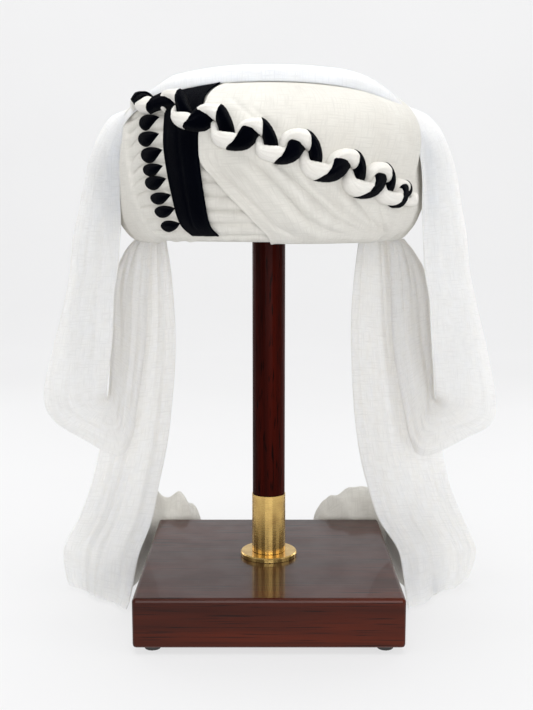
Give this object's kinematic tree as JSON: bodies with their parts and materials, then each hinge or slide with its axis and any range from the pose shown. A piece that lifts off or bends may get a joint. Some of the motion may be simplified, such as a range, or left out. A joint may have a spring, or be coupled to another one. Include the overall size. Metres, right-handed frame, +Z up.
{
  "type": "tied turban on display stand",
  "caption": "Wound white turban with a black band and a plaited band, cloth loops and tails hanging at both sides, on a square wood stand with a brass foot.",
  "frame": {"origin": "on the floor, under the middle of the object's bounding box, below the pole", "axes": "+Z up along the pole, -Y to the front with the plaited band, +X to the right in the front view"},
  "size_m": [0.4066, 0.3134, 0.474],
  "materials": {
    "dark_wood": "gloss varnish, dark red-brown",
    "pole_wood": "gloss varnish, dark red-brown",
    "brass": "satin brushed",
    "dark_foot": "matte",
    "rest_board": "plain",
    "white_cotton": "fine plain weave, matte",
    "plait_cotton": "fine plain weave, matte",
    "black_cotton": "fine plain weave, matte"
  },
  "bodies": {
    "root": {"base_block": "dark_wood", "foot_1": "dark_foot", "foot_2": "dark_foot", "foot_3": "dark_foot", "foot_4": "dark_foot", "brass_flange": "brass", "brass_sleeve": "brass", "pole": "pole_wood", "support_disc": "rest_board", "wound_body": "white_cotton", "crown_cloth": "white_cotton", "black_band": "black_cotton", "front_panel": "white_cotton", "border_leaf_1": "black_cotton", "border_leaf_2": "black_cotton", "border_leaf_3": "black_cotton", "border_leaf_4": "black_cotton", "border_leaf_5": "black_cotton", "border_leaf_6": "black_cotton", "border_leaf_7": "black_cotton", "border_leaf_8": "black_cotton", "braid_strand_1": "plait_cotton", "braid_border_1": "black_cotton", "braid_strand_2": "plait_cotton", "braid_border_2": "black_cotton", "braid_strand_3": "plait_cotton", "braid_border_3": "black_cotton", "crown_drape": "white_cotton", "loop_left": "white_cotton", "loop_right": "white_cotton", "tail_left": "white_cotton", "tail_right": "white_cotton", "tail_end_left": "white_cotton", "tail_end_right": "white_cotton"}
  },
  "joints": []
}
